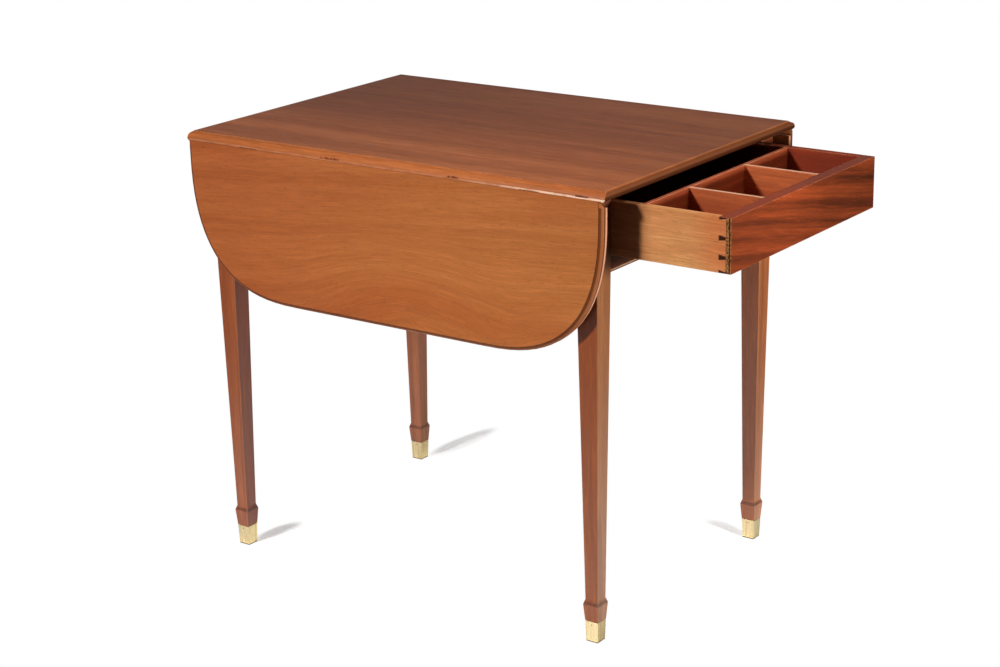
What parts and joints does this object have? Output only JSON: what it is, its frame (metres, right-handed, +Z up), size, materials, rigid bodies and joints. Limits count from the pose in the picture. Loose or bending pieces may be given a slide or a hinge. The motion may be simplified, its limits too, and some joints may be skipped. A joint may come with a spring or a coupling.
{
  "type": "drop-leaf table",
  "caption": "Mahogany drop-leaf game table with tapered legs in brass sabots, hanging rule-jointed leaves on folding stays, and an end drawer divided into compartments.",
  "frame": {"origin": "on the floor, under the middle of the box around the table with its leaves hanging and its drawer as pictured", "axes": "+X along the table's length towards the drawer end, +Y across the table to the far leaf, +Z up"},
  "size_m": [0.9718, 0.571, 0.72],
  "materials": {
    "top_mahogany": "satin polish",
    "leaf_mahogany": "satin polish",
    "leg_mahogany": "satin polish",
    "frame_wood": "planed, unpolished",
    "drawer_front_mahogany": "satin polish",
    "drawer_side_wood": "waxed",
    "drawer_inside_wood": "waxed",
    "brass": "cast, lightly polished",
    "pin_steel": "drawn"
  },
  "bodies": {
    "table_frame": {"center_top": "top_mahogany", "near_leg_drawer_end": "leg_mahogany", "near_leg_plain_end": "leg_mahogany", "far_leg_drawer_end": "leg_mahogany", "far_leg_plain_end": "leg_mahogany", "near_sabot_drawer_end": "brass", "near_sabot_plain_end": "brass", "far_sabot_drawer_end": "brass", "far_sabot_plain_end": "brass", "near_side_apron": "frame_wood", "far_side_apron": "frame_wood", "end_apron": "frame_wood", "drawer_rail": "frame_wood", "top_rail": "frame_wood", "near_drawer_runner": "frame_wood", "far_drawer_runner": "frame_wood", "near_drawer_kicker": "frame_wood", "far_drawer_kicker": "frame_wood", "near_drawer_stop": "frame_wood", "far_drawer_stop": "frame_wood", "near_hinge_table_plate_drawer_end": "brass", "near_hinge_table_plate_plain_end": "brass", "far_hinge_table_plate_drawer_end": "brass", "far_hinge_table_plate_plain_end": "brass", "near_hinge_pin_drawer_end": "pin_steel", "near_hinge_pin_plain_end": "pin_steel", "far_hinge_pin_drawer_end": "pin_steel", "far_hinge_pin_plain_end": "pin_steel", "near_stay_frame_bracket_drawer_end": "brass", "near_stay_frame_bracket_plain_end": "brass", "far_stay_frame_bracket_drawer_end": "brass", "far_stay_frame_bracket_plain_end": "brass"},
    "near_leaf": {"near_leaf": "leaf_mahogany", "near_hinge_leaf_plate_drawer_end": "brass", "near_hinge_leaf_plate_plain_end": "brass", "near_stay_leaf_bracket_drawer_end": "brass", "near_stay_leaf_bracket_plain_end": "brass"},
    "far_leaf": {"far_leaf": "leaf_mahogany", "far_hinge_leaf_plate_drawer_end": "brass", "far_hinge_leaf_plate_plain_end": "brass", "far_stay_leaf_bracket_drawer_end": "brass", "far_stay_leaf_bracket_plain_end": "brass"},
    "drawer": {"drawer_front": "drawer_front_mahogany", "near_drawer_side": "drawer_side_wood", "far_drawer_side": "drawer_side_wood", "drawer_back": "drawer_inside_wood", "drawer_bottom": "drawer_inside_wood", "drawer_cross_divider": "drawer_inside_wood", "near_drawer_divider": "drawer_inside_wood", "far_drawer_divider": "drawer_inside_wood"},
    "near_lower_link_drawer_end": {"near_stay_lower_link_drawer_end": "brass"},
    "near_lower_link_plain_end": {"near_stay_lower_link_plain_end": "brass"},
    "far_lower_link_drawer_end": {"far_stay_lower_link_drawer_end": "brass"},
    "far_lower_link_plain_end": {"far_stay_lower_link_plain_end": "brass"},
    "near_upper_link_drawer_end": {"near_stay_upper_link_drawer_end": "brass"},
    "near_upper_link_plain_end": {"near_stay_upper_link_plain_end": "brass"},
    "far_upper_link_drawer_end": {"far_stay_upper_link_drawer_end": "brass"},
    "far_upper_link_plain_end": {"far_stay_upper_link_plain_end": "brass"}
  },
  "joints": [
    {"name": "drawer_slide", "type": "slide", "parent": "table_frame", "child": "drawer", "axis": [1, 0, 0], "range_m": [-0.2, 0.14]},
    {"name": "near_leaf_hinge", "type": "hinge", "parent": "table_frame", "child": "near_leaf", "pos_m": [-0.08595, -0.2725, 0.707], "axis": [-1, 0, 0], "range_deg": [0, 90]},
    {"name": "far_leaf_hinge", "type": "hinge", "parent": "table_frame", "child": "far_leaf", "pos_m": [-0.08595, 0.2725, 0.707], "axis": [1, 0, 0], "range_deg": [0, 90]},
    {"name": "near_stay_foot_drawer_end", "type": "hinge", "parent": "table_frame", "child": "near_lower_link_drawer_end", "pos_m": [0.06255, -0.2528, 0.617], "axis": [-1, 0, 0], "range_deg": [-56.3, 0]},
    {"name": "near_stay_foot_plain_end", "type": "hinge", "parent": "table_frame", "child": "near_lower_link_plain_end", "pos_m": [-0.23745, -0.2528, 0.617], "axis": [-1, 0, 0], "range_deg": [-56.3, 0]},
    {"name": "far_stay_foot_drawer_end", "type": "hinge", "parent": "table_frame", "child": "far_lower_link_drawer_end", "pos_m": [0.06255, 0.2528, 0.617], "axis": [1, 0, 0], "range_deg": [-56.3, 0]},
    {"name": "far_stay_foot_plain_end", "type": "hinge", "parent": "table_frame", "child": "far_lower_link_plain_end", "pos_m": [-0.23745, 0.2528, 0.617], "axis": [1, 0, 0], "range_deg": [-56.3, 0]},
    {"name": "near_stay_head_drawer_end", "type": "hinge", "parent": "near_leaf", "child": "near_upper_link_drawer_end", "pos_m": [0.06555, -0.2542, 0.617], "axis": [-1, 0, 0], "range_deg": [0, 32.7]},
    {"name": "near_stay_head_plain_end", "type": "hinge", "parent": "near_leaf", "child": "near_upper_link_plain_end", "pos_m": [-0.23445, -0.2542, 0.617], "axis": [-1, 0, 0], "range_deg": [0, 32.7]},
    {"name": "far_stay_head_drawer_end", "type": "hinge", "parent": "far_leaf", "child": "far_upper_link_drawer_end", "pos_m": [0.06555, 0.2542, 0.617], "axis": [1, 0, 0], "range_deg": [0, 32.7]},
    {"name": "far_stay_head_plain_end", "type": "hinge", "parent": "far_leaf", "child": "far_upper_link_plain_end", "pos_m": [-0.23445, 0.2542, 0.617], "axis": [1, 0, 0], "range_deg": [0, 32.7]}
  ],
  "couplings": [
    {"joint": "near_stay_foot_drawer_end", "follows": "near_leaf_hinge", "ratio": -0.62467},
    {"joint": "near_stay_foot_plain_end", "follows": "near_leaf_hinge", "ratio": -0.62467},
    {"joint": "far_stay_foot_drawer_end", "follows": "far_leaf_hinge", "ratio": -0.62467},
    {"joint": "far_stay_foot_plain_end", "follows": "far_leaf_hinge", "ratio": -0.62467},
    {"joint": "near_stay_head_drawer_end", "follows": "near_leaf_hinge", "ratio": 0.36173},
    {"joint": "near_stay_head_plain_end", "follows": "near_leaf_hinge", "ratio": 0.36173},
    {"joint": "far_stay_head_drawer_end", "follows": "far_leaf_hinge", "ratio": 0.36173},
    {"joint": "far_stay_head_plain_end", "follows": "far_leaf_hinge", "ratio": 0.36173}
  ]
}
